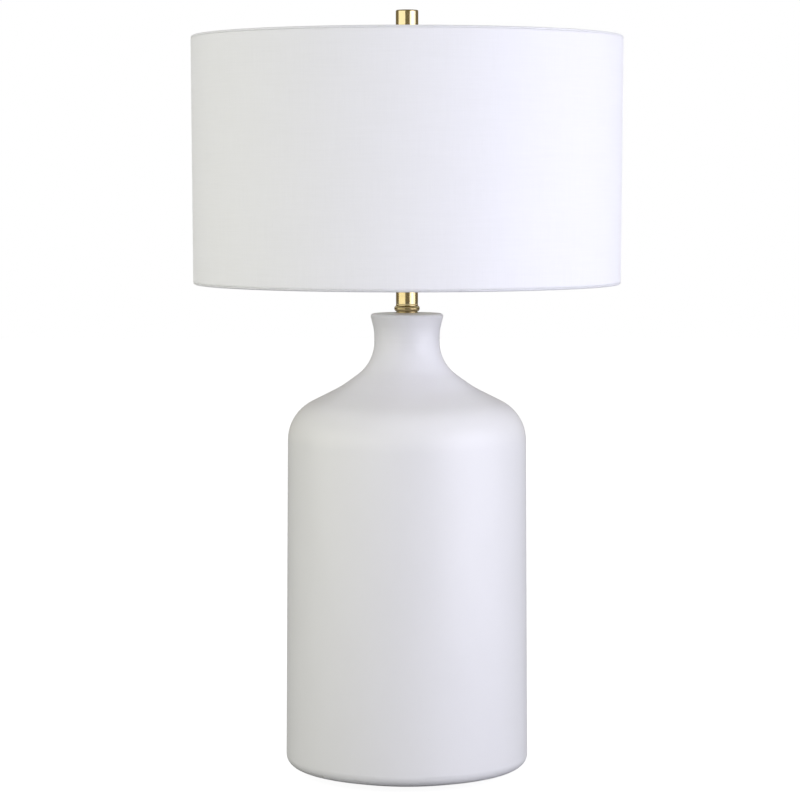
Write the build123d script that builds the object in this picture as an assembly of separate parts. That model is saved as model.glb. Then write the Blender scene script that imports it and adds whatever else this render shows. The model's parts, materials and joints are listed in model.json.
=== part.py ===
from build123d import *
import math
import os

# Table lamp: a satin ceramic bottle on four felt pads, a brass neck, a turn-knob screw socket with
# its bulb, a detachable harp, and a linen drum shade held by a brass finial.
# Millimetres, +Z up, origin on the table at the lamp's axis. The rear of the lamp is +Y.

# ---- How far a cutting tool runs past the face it opens ----
CUT_PAST = 1.0

# ---- Ceramic bottle: radii from the axis, heights above the foot or below the lip ----
PAD_THICKNESS = 1.5
PAD_RADIUS = 5.5
PAD_COUNT = 4
BODY_HEIGHT = 429.0
WALL = 6.5
BODY_RADIUS = 113.4
BODY_CORNER_HEIGHT = 7.5
BODY_CORNER_FILLET = 10.0
FOOT_INSET = 31.4
FOOT_BLEND = 60.0
FOOT_LAND = 22.0
FOOT_EDGE = 3.0
RECESS_DEPTH = 40.0
RECESS_FILLET = 4.0
SHOULDER_INSET = 2.4
SHOULDER_DROP = 93.1
SHOULDER_FILLET = 40.0
SLOPE_RADIUS = 62.1
SLOPE_DROP = 68.4
SLOPE_FILLET = 80.0
NECK_RADIUS = 30.5
NECK_DROP = 45.6
NECK_FILLET = 38.0
WAIST_DROP = 15.9
WAIST_FILLET = 36.0
LIP_FLARE = 3.9
LIP_FILLET = 2.5
LIP_CROWN = 0.9
RING_SEAT_RADIUS = 12.5
ROOF = 9.4

# ---- Cord outlet in the rear wall ----
CORD_HOLE_HEIGHT = 25.0
BUSHING_BORE_RADIUS = 3.6
BUSHING_WALL = 1.1
BUSHING_FLANGE_WIDTH = 2.0
BUSHING_FLANGE_THICKNESS = 1.6
BUSHING_FLANGE_FILLET = 0.8
BUSHING_BARB_LENGTH = 2.0
BUSHING_BARB_PROUD = 0.55
BUSHING_GRIP_CLEARANCE = 0.65

# ---- Lamp pipe and what it clamps ----
ROD_RADIUS = 5.0
ROD_BORE_RADIUS = 3.2
ROD_TAIL = 2.5
THREAD_CLEARANCE = 0.05
ROD_HOLE_CLEARANCE = 0.6
RUBBER_WASHER_RADIUS = 16.0
RUBBER_WASHER_THICKNESS = 2.0
STEEL_WASHER_RADIUS = 15.0
STEEL_WASHER_THICKNESS = 1.5
LOCK_WASHER_WIDTH = 3.6
LOCK_WASHER_THICKNESS = 1.6
LOCK_WASHER_SLIT = 1.6
NUT_WALL = 2.15
NUT_HEIGHT = 4.8
NUT_CHAMFER = 0.8
RING_COLLAR_HEIGHT = 1.2
RING_BEAD_HEIGHT = 5.5
RING_BEAD_PROUD = 1.6
RING_SPIGOT_HEIGHT = 3.0
RING_BEAD_ROUND = 0.99
NECK_TUBE_RADIUS = 10.2
NECK_TUBE_WALL = 1.0
NECK_TUBE_HEIGHT = 29.6
TOP_NUT_HEIGHT = 3.0
SLIDING_CLEARANCE = 0.1

# ---- Harp ----
HARP_HEIGHT = 203.2
HARP_BULB_GAP = 26.0
HARP_WIRE_RADIUS = 1.6
HARP_LEG_GAP = 7.5
HARP_LEG_WIDTH = 6.0
HARP_FLAT_LENGTH = 11.0
HARP_FLAT_THICKNESS = 1.6
HARP_KNEE_RISE = 42.0
HARP_SPREAD_RISE = 46.0
HARP_SHOULDER_DROP = 39.0
HARP_CROWN_HALF_WIDTH = 20.0
HARP_KNEE_FILLET = 40.0
HARP_SPREAD_FILLET = 80.0
HARP_SHOULDER_FILLET = 80.0
HARP_CROWN_FILLET = 28.0
SADDLE_WIDTH = 12.0
SADDLE_EYE_WALL = 4.0
SADDLE_THICKNESS = 1.3
SADDLE_SEAT_RISE = 9.0
SADDLE_BEND = 3.0
SADDLE_TAB_LENGTH = 10.0
FERRULE_WALL = 1.1
FERRULE_LENGTH = 13.5
EYE_RADIUS = 6.5
STUD_RADIUS = 3.17
STUD_LENGTH = 13.5
STUD_END_FILLET = 0.8
STUD_PLATFORM_RADIUS = 9.5
STUD_PLATFORM_THICKNESS = 1.4
STUD_PLATFORM_EDGE = 0.45
RIVET_RADIUS = 2.4
RIVET_HEAD_RADIUS = 4.2
RIVET_HEAD_THICKNESS = 1.4
RIVET_HEAD_FILLET = 0.7
SWIVEL_CLEARANCE = 0.1
SWIVEL_END_PLAY = 0.2

# ---- Socket ----
SOCKET_SHEET = 0.6
HUB_WALL = 2.6
HUB_HEIGHT = 8.0
CAP_DOME_HEIGHT = 14.0
CAP_HEIGHT = 24.0
CAP_OVERLAP = 6.0
CAP_NECK_FILLET = 2.0
CAP_DOME_FILLET = 5.0
SHELL_HEIGHT = 44.0
MOUTH_BEAD_PROUD = 0.7
MOUTH_BEAD_HEIGHT = 2.8
MOUTH_BEAD_SLOPE = 1.4
LINER_SHEET = 0.5
LINER_TOP_DROP = 4.2
BLOCK_HEIGHT = 20.0
BLOCK_LEDGE = 0.7
BLOCK_FLAT_DEPTH = 3.6
SWITCH_HEIGHT = 6.4
SWITCH_HOLE_RADIUS = 3.2
SCREW_SHELL_CLEARANCE = 0.4
SCREW_SHELL_SHEET = 0.4
SCREW_SHELL_TOP_DROP = 5.6
TERMINAL_SCREW_RADIUS = 1.6
TERMINAL_HEAD_RADIUS = 2.9
TERMINAL_HEAD_THICKNESS = 1.8
TERMINAL_POCKET_CLEARANCE = 1.0
SET_SCREW_RADIUS = 1.6
SLOT_WIDTH = 0.7
SLOT_DEPTH = 0.7
CONTACT_WIDTH = 5.0
CONTACT_SHEET = 0.4
CONTACT_FOOT_LENGTH = 3.0
CONTACT_RAMP_LENGTH = 3.0
CONTACT_TOE_LENGTH = 2.0
CONTACT_RISE = 2.4

# ---- Switch key ----
SHAFT_RADIUS = 1.6
SHAFT_ANCHOR = 8.0
KNOB_RADIUS = 6.5
KNOB_LENGTH = 15.0
KNOB_NECK_RADIUS = 5.2
KNOB_NECK_LENGTH = 4.5
KNOB_BACK_FILLET = 0.8
KNOB_NECK_FILLET = 1.5
KNOB_END_FILLET = 1.2
KNOB_FLUTES = 12
KNOB_FLUTE_RADIUS = 1.1
KNOB_FLUTE_OFFSET = 0.44
KNOB_STANDOFF = 12.0
KNOB_SOCKET_DEPTH = 9.0

# ---- Bulb ----
BULB_LENGTH = 108.0
GLOBE_RADIUS = 30.0
GLOBE_MOUTH_INSET = 2.5
GLOBE_WALL = 1.2
COLLAR_WALL = 1.4
COLLAR_WAIST_HEIGHT = 14.0
COLLAR_FLARE = 2.5
COLLAR_LOW_FILLET = 12.0
COLLAR_HIGH_FILLET = 16.0
BASE_RADIUS = 13.1
BASE_SHEET = 0.4
BASE_SHOULDER = 1.5
BASE_HEIGHT = 27.0
INSULATOR_HEIGHT = 3.2
INSULATOR_TIP_RADIUS = 6.0
TIP_RADIUS = 4.2
TIP_HEIGHT = 1.2
TIP_FILLET = 0.6
LED_BOARD_THICKNESS = 1.6
LED_COUNT = 12
LED_SIZE = 3.0
LED_HEIGHT = 0.8
LED_RING_INSET = 7.8

# ---- Shade ----
SHADE_TOP_RADIUS = 199.5
SHADE_BOTTOM_RADIUS = 198.3
SHADE_HEIGHT = 228.6
FABRIC = 0.5
LINER = 0.5
RING_WIRE_RADIUS = 1.6
WRAP_CLEARANCE = 0.02
HUB_DISC_RADIUS = 12.7
HUB_DISC_THICKNESS = 3.2
HUB_DISC_EDGE = 0.64
HUB_HOLE_CLEARANCE = 0.25
SPIDER_DROP = 12.7
SPIDER_ARMS = 3
SPIDER_WIRE_RADIUS = 1.5
SPIDER_BEND_START = 24.0
SPIDER_BEND_END = 11.0
SPIDER_FILLET = 6.0

# ---- Finial ----
FINIAL_RADIUS = 10.4
FINIAL_HEIGHT = 36.8
FINIAL_EDGE = 1.2
FINIAL_FOOT_EDGE = 0.4
CORE_WALL = 2.2
CORE_LENGTH = 16.0
CORE_CLEARANCE = 0.05

# ---- Levels, each built on the piece below ----
foot_z = PAD_THICKNESS
recess_z = foot_z + RECESS_DEPTH
lip_z = foot_z + BODY_HEIGHT
seat_z = lip_z + LIP_CROWN
lip_radius = NECK_RADIUS + LIP_FLARE
cord_z = foot_z + CORD_HOLE_HEIGHT
washer_z = recess_z - RUBBER_WASHER_THICKNESS
steel_washer_z = washer_z - STEEL_WASHER_THICKNESS
lock_washer_z = steel_washer_z - LOCK_WASHER_THICKNESS
nut_z = lock_washer_z - NUT_HEIGHT
rod_bottom_z = nut_z - ROD_TAIL
ring_top_z = seat_z + RING_COLLAR_HEIGHT + RING_BEAD_HEIGHT
neck_top_z = ring_top_z + NECK_TUBE_HEIGHT
saddle_top_z = neck_top_z + SADDLE_THICKNESS
socket_z = saddle_top_z + TOP_NUT_HEIGHT
rod_top_z = socket_z + HUB_HEIGHT
shell_z = socket_z + CAP_HEIGHT - CAP_OVERLAP
shell_top_z = shell_z + SHELL_HEIGHT
block_z = shell_z - SOCKET_SHEET
block_top_z = block_z + BLOCK_HEIGHT
switch_z = shell_z + CAP_OVERLAP + SWITCH_HEIGHT
bulb_z = block_top_z + CONTACT_SHEET + CONTACT_RISE
stud_seat_z = neck_top_z + HARP_HEIGHT
stud_platform_z = stud_seat_z - STUD_PLATFORM_THICKNESS
harp_crown_z = stud_platform_z - SWIVEL_END_PLAY - HARP_WIRE_RADIUS
leg_z = saddle_top_z + SADDLE_SEAT_RISE
hub_top_z = stud_seat_z + HUB_DISC_THICKNESS
shade_top_z = hub_top_z + SPIDER_DROP
shade_bottom_z = shade_top_z - SHADE_HEIGHT

# ---- Radii, each built on the piece inside it ----
shoulder_radius = BODY_RADIUS - SHOULDER_INSET
foot_radius = BODY_RADIUS - FOOT_INSET
recess_radius = foot_radius - FOOT_LAND
rod_hole_radius = ROD_RADIUS + ROD_HOLE_CLEARANCE
thread_hole_radius = ROD_RADIUS + THREAD_CLEARANCE
nut_across_flats = 2 * (ROD_RADIUS + NUT_WALL)
lock_washer_radius = ROD_RADIUS + LOCK_WASHER_WIDTH
hub_radius = ROD_RADIUS + HUB_WALL
screw_shell_bore = BASE_RADIUS + SCREW_SHELL_CLEARANCE
block_radius = screw_shell_bore + SCREW_SHELL_SHEET + BLOCK_LEDGE
liner_radius = block_radius + SLIDING_CLEARANCE + LINER_SHEET
shell_radius = liner_radius + THREAD_CLEARANCE + SOCKET_SHEET
socket_radius = shell_radius + THREAD_CLEARANCE + SOCKET_SHEET
harp_leg_x = socket_radius + HARP_LEG_GAP
harp_half_width = GLOBE_RADIUS + HARP_BULB_GAP
globe_mouth_radius = GLOBE_RADIUS - GLOBE_MOUTH_INSET
stud_hole_radius = STUD_RADIUS + HUB_HOLE_CLEARANCE
core_bore = STUD_RADIUS + CORE_CLEARANCE
core_radius = core_bore + CORE_WALL


# ---- Helpers ----
def lathe(outline):
    """A solid of revolution about Z, from a closed outline of (radius, height, fillet) corners."""
    corners = [(radius, height) for radius, height, _ in outline]
    fillets = [fillet for _, _, fillet in outline]
    wire = FilletPolyline(*corners, radius=fillets, close=True)
    return revolve(Plane.XZ * make_face(wire), Axis.Z)


def inset(chain, distance):
    """An open chain of (radius, height, fillet) corners moved to its left, with concentric fillets."""
    points = [Vector(radius, height) for radius, height, _ in chain]
    runs = [(end - start).normalized() for start, end in zip(points, points[1:])]
    moved = []
    for index, point in enumerate(points):
        before = runs[max(index - 1, 0)]
        after = runs[min(index, len(runs) - 1)]
        shift = distance / (1 + before.dot(after))
        left = Vector(-before.Y - after.Y, before.X + after.X) * shift
        turn = before.cross(after).Z
        fillet = chain[index][2]
        if fillet:
            fillet = max(fillet - math.copysign(distance, turn), 0.0)
        moved.append((point.X + left.X, point.Y + left.Y, fillet))
    return moved


def sheet_lathe(chain, thickness):
    """A turned sheet-metal or moulded wall, its thickness to the left of the chain."""
    return lathe(chain + inset(chain, thickness)[::-1])


def tube(outer, inner, low, high):
    """A plain ring or tube about Z."""
    return lathe([(inner, low, 0), (outer, low, 0), (outer, high, 0), (inner, high, 0)])


def disc(radius, low, high):
    """A plain cylinder about Z."""
    return Pos(0, 0, low) * Cylinder(radius, high - low, align=(Align.CENTER, Align.CENTER, Align.MIN))


def block(low, high):
    """A box between two corners."""
    centre = [(a + b) / 2 for a, b in zip(low, high)]
    size = [b - a for a, b in zip(low, high)]
    return Pos(*centre) * Box(*size)


def bar(start, end, radius):
    """A round bar between two points."""
    a, b = Vector(*start), Vector(*end)
    plane = Plane(origin=a, z_dir=b - a)
    return plane * Cylinder(radius, (b - a).length, align=(Align.CENTER, Align.CENTER, Align.MIN))


def wire_along(points, fillets, radius):
    """A round wire bent along a polyline with filleted corners."""
    path = FilletPolyline(*points, radius=fillets)
    return sweep(Plane(origin=path @ 0, z_dir=path % 0) * Circle(radius), path)


def hex_nut(across_flats, low, high):
    """A hexagon nut on the lamp pipe, chamfered top and bottom."""
    corner_radius = across_flats / math.sqrt(3)
    hexagon = extrude(Pos(0, 0, low) * RegularPolygon(corner_radius, 6), high - low)
    flat_radius = corner_radius - NUT_CHAMFER
    inner = thread_hole_radius
    envelope = lathe(
        [
            (inner, low, 0),
            (flat_radius, low, 0),
            (corner_radius, low + NUT_CHAMFER, 0),
            (corner_radius, high - NUT_CHAMFER, 0),
            (flat_radius, high, 0),
            (inner, high, 0),
        ]
    )
    return hexagon & envelope


def copies(shape, places):
    """Separate copies of one shape at several places, as one sub-part."""
    return Compound(children=[place * shape for place in places])


def save(name, shape):
    """Writes one sub-part as its own STEP file."""
    export_step(shape, os.path.join("parts", name + ".step"))


# ---- Ceramic bottle and what closes its foot ----
def body_chain():
    """The bottle's outside from the recess ceiling, round the foot and up to the crowned lip."""
    return [
        (0.0, recess_z, 0),
        (recess_radius, recess_z, RECESS_FILLET),
        (recess_radius, foot_z, FOOT_EDGE),
        (foot_radius, foot_z, FOOT_BLEND),
        (BODY_RADIUS, foot_z + BODY_CORNER_HEIGHT, BODY_CORNER_FILLET),
        (shoulder_radius, lip_z - SHOULDER_DROP, SHOULDER_FILLET),
        (SLOPE_RADIUS, lip_z - SLOPE_DROP, SLOPE_FILLET),
        (NECK_RADIUS, lip_z - NECK_DROP, NECK_FILLET),
        (NECK_RADIUS, lip_z - WAIST_DROP, WAIST_FILLET),
        (lip_radius, lip_z, LIP_FILLET),
        (RING_SEAT_RADIUS, seat_z, 0),
        (0.0, seat_z, 0),
    ]


def wall_radius(height):
    """Outer radius of the bottle's long wall at a height above the table."""
    low = foot_z + BODY_CORNER_HEIGHT
    share = (height - low) / (lip_z - SHOULDER_DROP - low)
    return BODY_RADIUS + (shoulder_radius - BODY_RADIUS) * share


bushing_radius = BUSHING_BORE_RADIUS + BUSHING_WALL
bushing_flange_radius = bushing_radius + BUSHING_FLANGE_WIDTH
bushing_face_y = wall_radius(cord_z - bushing_flange_radius)


def ceramic_body():
    chain = body_chain()
    cavity = inset(chain[:8] + [(NECK_RADIUS, lip_z, 0)], WALL)
    roof_z = seat_z - ROOF
    cavity[-1] = (NECK_RADIUS - WALL, roof_z, 0)
    cavity.append((0.0, roof_z, 0))
    shape = lathe(chain) - lathe(cavity)
    shape -= disc(rod_hole_radius, foot_z, seat_z)
    cord_hole = bushing_radius + SLIDING_CLEARANCE
    return shape - bar((0, 0, cord_z), (0, BODY_RADIUS + CUT_PAST, cord_z), cord_hole)


def foot_pads():
    pad = disc(PAD_RADIUS, 0, PAD_THICKNESS)
    return copies(pad, PolarLocations(recess_radius + FOOT_EDGE + PAD_RADIUS, PAD_COUNT))


def cord_bushing():
    """A snap bushing: flange outside the wall, barrel through it, barb behind it."""
    barb_radius = bushing_radius + SLIDING_CLEARANCE + BUSHING_BARB_PROUD
    inside = -WALL - BUSHING_GRIP_CLEARANCE
    outline = [
        (BUSHING_BORE_RADIUS, inside - BUSHING_BARB_LENGTH, 0),
        (bushing_radius, inside - BUSHING_BARB_LENGTH, 0),
        (barb_radius, inside, 0),
        (bushing_radius, inside, 0),
        (bushing_radius, 0, 0),
        (bushing_flange_radius, 0, 0),
        (bushing_flange_radius, BUSHING_FLANGE_THICKNESS, BUSHING_FLANGE_FILLET),
        (BUSHING_BORE_RADIUS, BUSHING_FLANGE_THICKNESS, 0),
    ]
    return Pos(0, bushing_face_y, cord_z) * Rot(X=-90) * lathe(outline)


def lock_washer():
    """A spring washer with its slit."""
    ring = tube(lock_washer_radius, thread_hole_radius, lock_washer_z, steel_washer_z)
    half_slit = LOCK_WASHER_SLIT / 2
    past_rim = lock_washer_radius + CUT_PAST
    slit = block((-half_slit, 0, lock_washer_z), (half_slit, past_rim, steel_washer_z))
    return ring - slit


# ---- Brass neck ----
def neck_ring():
    """The check ring on the lip: a collar, a half-round bead and a spigot inside the neck tube.

    The bead's fillet is a hair under its full arc, so that both its ends stay on their lines.
    """
    bead_z = seat_z + RING_COLLAR_HEIGHT
    half_bead = RING_BEAD_HEIGHT / 2
    bead_arc = (half_bead**2 + RING_BEAD_PROUD**2) / (2 * RING_BEAD_PROUD)
    tangents_meet = NECK_TUBE_RADIUS + half_bead**2 / (bead_arc - RING_BEAD_PROUD)
    spigot_radius = NECK_TUBE_RADIUS - NECK_TUBE_WALL - THREAD_CLEARANCE
    return lathe(
        [
            (thread_hole_radius, seat_z, 0),
            (NECK_TUBE_RADIUS, seat_z, 0),
            (NECK_TUBE_RADIUS, bead_z, 0),
            (tangents_meet, bead_z + half_bead, bead_arc * RING_BEAD_ROUND),
            (NECK_TUBE_RADIUS, ring_top_z, 0),
            (spigot_radius, ring_top_z, 0),
            (spigot_radius, ring_top_z + RING_SPIGOT_HEIGHT, 0),
            (thread_hole_radius, ring_top_z + RING_SPIGOT_HEIGHT, 0),
        ]
    )


def neck_tube():
    """A drawn brass cup, open below, with the lamp pipe through its top."""
    chain = [
        (NECK_TUBE_RADIUS, ring_top_z, 0),
        (NECK_TUBE_RADIUS, neck_top_z, NECK_TUBE_WALL),
        (thread_hole_radius, neck_top_z, 0),
    ]
    return sheet_lathe(chain, NECK_TUBE_WALL)


# ---- Harp saddle, harp, ferrules and swivel stud ----
half_flat = HARP_FLAT_THICKNESS / 2
tab_outer_x = harp_leg_x - half_flat - SLIDING_CLEARANCE
tab_inner_x = tab_outer_x - SADDLE_THICKNESS
ferrule_x = (tab_inner_x + harp_leg_x + half_flat) / 2
ferrule_bore = math.hypot(HARP_LEG_WIDTH / 2, ferrule_x - tab_inner_x) + SLIDING_CLEARANCE
ferrule_radius = ferrule_bore + FERRULE_WALL


def harp_saddle():
    """A bent steel strip: a base on the neck, two arms, and on each a seat and a narrow tab."""
    half_width = SADDLE_WIDTH / 2
    inner_bend = SADDLE_BEND - SADDLE_THICKNESS
    path = FilletPolyline(
        (tab_outer_x, leg_z),
        (tab_outer_x, neck_top_z),
        (-tab_outer_x, neck_top_z),
        (-tab_outer_x, leg_z),
        (-tab_inner_x, leg_z),
        (-tab_inner_x, saddle_top_z),
        (tab_inner_x, saddle_top_z),
        (tab_inner_x, leg_z),
        radius=[0, SADDLE_BEND, SADDLE_BEND, 0, 0, inner_bend, inner_bend, 0],
        close=True,
    )
    strip = extrude(Plane.XZ * make_face(path), half_width, both=True)
    half_tab = HARP_LEG_WIDTH / 2
    for side in (-1, 1):
        inner, outer = sorted((side * tab_inner_x, side * tab_outer_x))
        strip += block((inner, -half_tab, leg_z), (outer, half_tab, leg_z + SADDLE_TAB_LENGTH))
        near, far = sorted((side * tab_inner_x, side * (ferrule_x + ferrule_radius)))
        strip += block((near, -half_width, leg_z - SADDLE_THICKNESS), (far, half_width, leg_z))
    strip += disc(thread_hole_radius + SADDLE_EYE_WALL, neck_top_z, saddle_top_z)
    return strip - disc(thread_hole_radius, neck_top_z, saddle_top_z)


def harp_bow():
    """One wire from leg to leg, flattened at both feet and at the eye the stud is riveted in."""
    knee_z = leg_z + HARP_KNEE_RISE
    spread_z = knee_z + HARP_SPREAD_RISE
    shoulder_z = harp_crown_z - HARP_SHOULDER_DROP
    right = [
        (harp_leg_x, 0, leg_z + HARP_FLAT_LENGTH),
        (harp_leg_x, 0, knee_z),
        (harp_half_width, 0, spread_z),
        (harp_half_width, 0, shoulder_z),
        (HARP_CROWN_HALF_WIDTH, 0, harp_crown_z),
    ]
    left = [(-x, y, z) for x, y, z in reversed(right)]
    bends = [HARP_KNEE_FILLET, HARP_SPREAD_FILLET, HARP_SHOULDER_FILLET, HARP_CROWN_FILLET]
    bow = wire_along(right + left, bends + bends[::-1], HARP_WIRE_RADIUS)
    half_leg = HARP_LEG_WIDTH / 2
    for side in (-1, 1):
        near, far = sorted((side * harp_leg_x - half_flat, side * harp_leg_x + half_flat))
        bow += block((near, -half_leg, leg_z), (far, half_leg, leg_z + HARP_FLAT_LENGTH))
    bow += disc(EYE_RADIUS, harp_crown_z - HARP_WIRE_RADIUS, harp_crown_z + HARP_WIRE_RADIUS)
    rivet_hole = RIVET_RADIUS + SWIVEL_CLEARANCE
    return bow - disc(rivet_hole, harp_crown_z - EYE_RADIUS, harp_crown_z + EYE_RADIUS)


def harp_ferrule(side):
    """The sleeve that slides down over a leg and its tab."""
    sleeve = tube(ferrule_radius, ferrule_bore, leg_z, leg_z + FERRULE_LENGTH)
    return Pos(side * ferrule_x, 0, 0) * sleeve


def harp_stud():
    """The swivel: a rivet head under the eye, a platform over it, and the finial's stud."""
    head_z = harp_crown_z - HARP_WIRE_RADIUS - SWIVEL_END_PLAY
    stud_top_z = stud_seat_z + STUD_LENGTH
    return lathe(
        [
            (0, head_z - RIVET_HEAD_THICKNESS, 0),
            (RIVET_HEAD_RADIUS, head_z - RIVET_HEAD_THICKNESS, RIVET_HEAD_FILLET),
            (RIVET_HEAD_RADIUS, head_z, 0),
            (RIVET_RADIUS, head_z, 0),
            (RIVET_RADIUS, stud_platform_z, 0),
            (STUD_PLATFORM_RADIUS, stud_platform_z, 0),
            (STUD_PLATFORM_RADIUS, stud_seat_z, STUD_PLATFORM_EDGE),
            (STUD_RADIUS, stud_seat_z, 0),
            (STUD_RADIUS, stud_top_z, STUD_END_FILLET),
            (0, stud_top_z, 0),
        ]
    )


# ---- Socket ----
def screw(radius, length, head_radius, head_height):
    """A slotted screw along +Z, its head's underside at the origin."""
    shape = disc(radius, -length, 0)
    if head_height:
        shape += disc(head_radius, 0, head_height)
    half_slot = SLOT_WIDTH / 2
    slot_z = head_height - SLOT_DEPTH
    past_head = head_height + CUT_PAST
    return shape - block((-head_radius, -half_slot, slot_z), (head_radius, half_slot, past_head))


set_screw_z = socket_z + HUB_HEIGHT / 2
terminal_z = block_z + BLOCK_HEIGHT / 2
terminal_x = block_radius - BLOCK_FLAT_DEPTH


def socket_cap():
    chain = [
        (hub_radius, socket_z, 0),
        (hub_radius, rod_top_z, CAP_NECK_FILLET),
        (socket_radius, socket_z + CAP_DOME_HEIGHT, CAP_DOME_FILLET),
        (socket_radius, socket_z + CAP_HEIGHT, 0),
    ]
    dome = sheet_lathe(chain, SOCKET_SHEET)
    hub = tube(hub_radius - SOCKET_SHEET / 2, thread_hole_radius, socket_z, rod_top_z)
    hole_radius = SET_SCREW_RADIUS + THREAD_CLEARANCE
    hole = bar((0, 0, set_screw_z), (0, -hub_radius - CUT_PAST, set_screw_z), hole_radius)
    return dome + hub - hole


def socket_set_screw():
    length = hub_radius - ROD_RADIUS - THREAD_CLEARANCE
    shape = screw(SET_SCREW_RADIUS, length, SET_SCREW_RADIUS, 0)
    return Pos(0, -hub_radius, set_screw_z) * Rot(X=90) * shape


def switch_hole(radius):
    """The cutter for the switch shaft's way through the socket's walls."""
    return bar((0, -shaft_inner_y, switch_z), (0, -socket_radius - CUT_PAST, switch_z), radius)


shaft_inner_y = block_radius - SHAFT_ANCHOR
shaft_hole_radius = SHAFT_RADIUS + SLIDING_CLEARANCE


def socket_shell():
    bead_z = shell_top_z - MOUTH_BEAD_HEIGHT
    mouth_radius = shell_radius + MOUTH_BEAD_PROUD
    chain = [
        (shell_radius, shell_z, 0),
        (shell_radius, bead_z, MOUTH_BEAD_SLOPE),
        (mouth_radius, bead_z + MOUTH_BEAD_SLOPE, MOUTH_BEAD_PROUD),
        (mouth_radius, shell_top_z, 0),
    ]
    return sheet_lathe(chain, SOCKET_SHEET) - switch_hole(SWITCH_HOLE_RADIUS)


def socket_liner():
    high = shell_top_z - LINER_TOP_DROP
    return tube(liner_radius, liner_radius - LINER_SHEET, shell_z, high) - switch_hole(SWITCH_HOLE_RADIUS)


def terminal_screws():
    shape = screw(TERMINAL_SCREW_RADIUS, BLOCK_FLAT_DEPTH, TERMINAL_HEAD_RADIUS, TERMINAL_HEAD_THICKNESS)
    at_right = Pos(terminal_x, 0, terminal_z) * Rot(Y=90) * shape
    return copies(at_right, [Rot(), Rot(Z=180)])


def socket_block():
    """The moulded switch block, with a flat and a threaded hole for each terminal screw."""
    shape = disc(block_radius, block_z, block_top_z)
    half_pocket = TERMINAL_HEAD_RADIUS + TERMINAL_POCKET_CLEARANCE
    low_z, high_z = terminal_z - half_pocket, terminal_z + half_pocket
    for side in (-1, 1):
        near, far = sorted((side * terminal_x, side * (block_radius + CUT_PAST)))
        pocket = block((near, -block_radius, low_z), (far, block_radius, high_z))
        hole_end = side * (terminal_x - BLOCK_FLAT_DEPTH)
        hole = bar((hole_end, 0, terminal_z), (side * block_radius, 0, terminal_z), TERMINAL_SCREW_RADIUS)
        shape -= pocket + hole
    return shape - switch_hole(shaft_hole_radius)


def socket_screw_shell():
    """The threaded shell that takes the bulb, on its flange on the block."""
    top_z = shell_top_z - SCREW_SHELL_TOP_DROP
    outer = screw_shell_bore + SCREW_SHELL_SHEET
    return tube(outer, screw_shell_bore, block_top_z, top_z)


def centre_contact():
    """A sprung brass tongue, riveted at one end, that meets the bulb's tip at the other."""
    foot_x = -CONTACT_RAMP_LENGTH - CONTACT_FOOT_LENGTH
    toe_z = block_top_z + CONTACT_RISE
    chain = [
        (foot_x, block_top_z, 0),
        (-CONTACT_RAMP_LENGTH, block_top_z, 0),
        (0, toe_z, 0),
        (CONTACT_TOE_LENGTH, toe_z, 0),
    ]
    outline = [(x, z) for x, z, _ in chain + inset(chain, CONTACT_SHEET)[::-1]]
    strip = Plane.XZ * make_face(Polyline(*outline, close=True))
    return extrude(strip, CONTACT_WIDTH / 2, both=True)


# ---- Switch key ----
knob_y = -(socket_radius + KNOB_STANDOFF)


def switch_shaft():
    return bar((0, -shaft_inner_y, switch_z), (0, knob_y - KNOB_SOCKET_DEPTH, switch_z), SHAFT_RADIUS)


def switch_knob():
    """A fluted knob pressed on the shaft."""
    profile = [
        (0, 0, 0),
        (KNOB_NECK_RADIUS, 0, KNOB_BACK_FILLET),
        (KNOB_RADIUS, KNOB_NECK_LENGTH, KNOB_NECK_FILLET),
        (KNOB_RADIUS, KNOB_LENGTH, KNOB_END_FILLET),
        (0, KNOB_LENGTH, 0),
    ]
    knob = lathe(profile)
    flute = disc(KNOB_FLUTE_RADIUS, KNOB_NECK_LENGTH, KNOB_LENGTH + CUT_PAST)
    for place in PolarLocations(KNOB_RADIUS + KNOB_FLUTE_OFFSET, KNOB_FLUTES):
        knob -= place * flute
    knob -= disc(SHAFT_RADIUS, 0, KNOB_SOCKET_DEPTH)
    return Pos(0, knob_y, switch_z) * Rot(X=90) * knob


# ---- Bulb ----
globe_centre_z = bulb_z + BULB_LENGTH - GLOBE_RADIUS
globe_mouth_z = globe_centre_z - math.sqrt(GLOBE_RADIUS**2 - globe_mouth_radius**2)
base_top_z = bulb_z + BASE_HEIGHT
insulator_z = bulb_z + TIP_HEIGHT


def bulb_tip_contact():
    return lathe(
        [
            (0, bulb_z, 0),
            (TIP_RADIUS, bulb_z, TIP_FILLET),
            (TIP_RADIUS, insulator_z, 0),
            (0, insulator_z, 0),
        ]
    )


def bulb_insulator():
    top_z = insulator_z + INSULATOR_HEIGHT
    return lathe(
        [
            (0, insulator_z, 0),
            (INSULATOR_TIP_RADIUS, insulator_z, 0),
            (BASE_RADIUS - BASE_SHOULDER, top_z, 0),
            (0, top_z, 0),
        ]
    )


def bulb_screw_shell():
    low = insulator_z + INSULATOR_HEIGHT
    chain = [
        (BASE_RADIUS - BASE_SHOULDER, low, 0),
        (BASE_RADIUS, low + BASE_SHOULDER, 0),
        (BASE_RADIUS, base_top_z, 0),
    ]
    return sheet_lathe(chain, BASE_SHEET)


def bulb_collar():
    """The white moulded collar between the screw shell and the globe."""
    chain = [
        (BASE_RADIUS, base_top_z, 0),
        (BASE_RADIUS + COLLAR_FLARE, base_top_z + COLLAR_WAIST_HEIGHT / 2, COLLAR_LOW_FILLET),
        (globe_mouth_radius, globe_mouth_z - COLLAR_WAIST_HEIGHT / 2, COLLAR_HIGH_FILLET),
        (globe_mouth_radius, globe_mouth_z, 0),
    ]
    return sheet_lathe(chain, COLLAR_WALL)


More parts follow.
